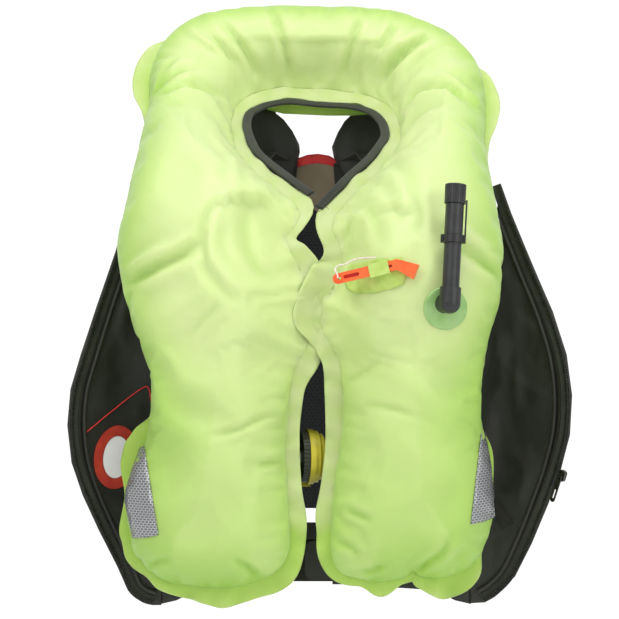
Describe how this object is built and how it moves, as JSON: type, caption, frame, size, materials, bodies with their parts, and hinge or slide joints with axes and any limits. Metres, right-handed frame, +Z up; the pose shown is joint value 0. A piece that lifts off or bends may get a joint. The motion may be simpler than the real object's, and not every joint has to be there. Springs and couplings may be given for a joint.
{
  "type": "inflatable life jacket",
  "caption": "Inflated life jacket, upright as worn: green horseshoe air chamber out of its dark cover, with whistle, oral tube, inflator and waist belt.",
  "frame": {"origin": "centre of the wearer's neck, midway between the front and the back of the neck opening", "axes": "+Z up as worn, -Y the wearer's front, +X the wearer's left"},
  "size_m": [0.533, 0.4181, 0.6707],
  "materials": {
    "chamber_green": "satin coated cloth",
    "seam_green": "satin coated cloth",
    "loop_green": "elastic",
    "cover_black": "matt nylon",
    "binding_dark": "stitched tape",
    "piping_dark": "satin",
    "yoke_grey": "matt",
    "trim_red": "matt",
    "mesh_black": "open mesh",
    "webbing": "woven",
    "reflective": "retroreflective",
    "whistle_orange": "gloss",
    "lanyard_white": "cord",
    "rubber_black": "matt",
    "valve_grey": "matt",
    "inflator_yellow": "matt",
    "ring_green": "matt",
    "plastic_black": "matt",
    "steel": "brushed",
    "cylinder_steel": "painted",
    "zip_metal": "satin",
    "window_red": "matt",
    "window_clear": "satin"
  },
  "bodies": {
    "jacket": {"air_chamber": "chamber_green", "seam_ear_left": "seam_green", "seam_ear_right": "seam_green", "neck_binding": "binding_dark", "reflective_patch_left": "reflective", "reflective_patch_right": "reflective", "whistle_patch": "seam_green", "whistle_loop": "loop_green", "whistle_lanyard": "lanyard_white", "oral_patch": "seam_green", "oral_elbow": "rubber_black", "oral_tube": "rubber_black", "oral_valve_body": "valve_grey", "oral_spring": "steel", "cap_tether": "rubber_black", "inflator_cap": "inflator_yellow", "inflator_body": "inflator_yellow", "lever_pin": "steel", "inflator_ring": "ring_green", "gas_cylinder": "cylinder_steel", "vest_front_left": "cover_black", "vest_front_right": "cover_black", "cover_flap_left": "cover_black", "cover_flap_right": "cover_black", "zip_tape_left": "cover_black", "zip_tape_right": "cover_black", "zip_teeth_left": "zip_metal", "zip_teeth_right": "zip_metal", "piping_left": "piping_dark", "piping_right": "piping_dark", "window_ring": "window_red", "window_film": "window_clear", "grab_strap": "webbing", "shoulder_left": "cover_black", "shoulder_right": "cover_black", "back_yoke": "yoke_grey", "yoke_trim": "trim_red", "back_mesh": "mesh_black", "cover_neck": "cover_black", "back_strap_left": "webbing", "back_strap_right": "webbing", "belt_back": "webbing", "belt_front_left": "webbing", "belt_front_right": "webbing", "belt_tail": "webbing", "buckle_female": "plastic_black", "buckle_male": "plastic_black"},
    "cap": {"oral_cap": "valve_grey"},
    "poppet": {"oral_poppet": "plastic_black"},
    "slider": {"zip_slider": "zip_metal"},
    "pull": {"zip_pull": "zip_metal"},
    "whistle": {"whistle_body": "whistle_orange"},
    "lever": {"inflator_lever": "plastic_black"},
    "prong_upper": {"buckle_prong_upper": "plastic_black"},
    "prong_lower": {"buckle_prong_lower": "plastic_black"},
    "adjuster": {"belt_adjuster": "plastic_black"},
    "keeper": {"belt_keeper": "webbing"}
  },
  "joints": [
    {"name": "cap_pull_off", "type": "slide", "parent": "jacket", "child": "cap", "axis": [0.057, 0.13, 0.9899], "range_m": [0, 0.012]},
    {"name": "poppet_press", "type": "slide", "parent": "jacket", "child": "poppet", "axis": [-0.057, -0.13, -0.9899], "range_m": [0, 0.003], "stiffness_N_per_m": 300, "springref_m": -0.003, "deforming": ["oral_spring"]},
    {"name": "zip_slide", "type": "slide", "parent": "jacket", "child": "slider", "axis": [-0.2531, 0.3295, -0.9096], "range_m": [-0.003, 0.01]},
    {"name": "pull_swing", "type": "hinge", "parent": "slider", "child": "pull", "pos_m": [0.25756, -0.16683, -0.343], "axis": [-0.5541, 0.7213, 0.4155], "range_deg": [0, 100]},
    {"name": "whistle_slide", "type": "slide", "parent": "jacket", "child": "whistle", "axis": [0.9408, -0.2535, 0.225], "range_m": [-0.008, 0.008]},
    {"name": "lever_swing", "type": "hinge", "parent": "jacket", "child": "lever", "pos_m": [-0.0255, -0.1222, -0.3515], "axis": [0, 1, 0], "range_deg": [0, 75]},
    {"name": "prong_upper_flex", "type": "hinge", "parent": "jacket", "child": "prong_upper", "pos_m": [-0.0846, -0.0959, -0.424], "axis": [0, 1, 0], "range_deg": [-16, 0], "stiffness_Nm_per_rad": 0.05, "springref_deg": 5.73},
    {"name": "prong_lower_flex", "type": "hinge", "parent": "jacket", "child": "prong_lower", "pos_m": [-0.0846, -0.0959, -0.454], "axis": [0, 1, 0], "range_deg": [0, 16], "stiffness_Nm_per_rad": 0.05, "springref_deg": -5.73},
    {"name": "adjuster_slide", "type": "slide", "parent": "jacket", "child": "adjuster", "axis": [1, 0, 0], "range_m": [0, 0.01]},
    {"name": "keeper_slide", "type": "slide", "parent": "jacket", "child": "keeper", "axis": [1, 0, 0], "range_m": [-0.002, 0.005]}
  ]
}
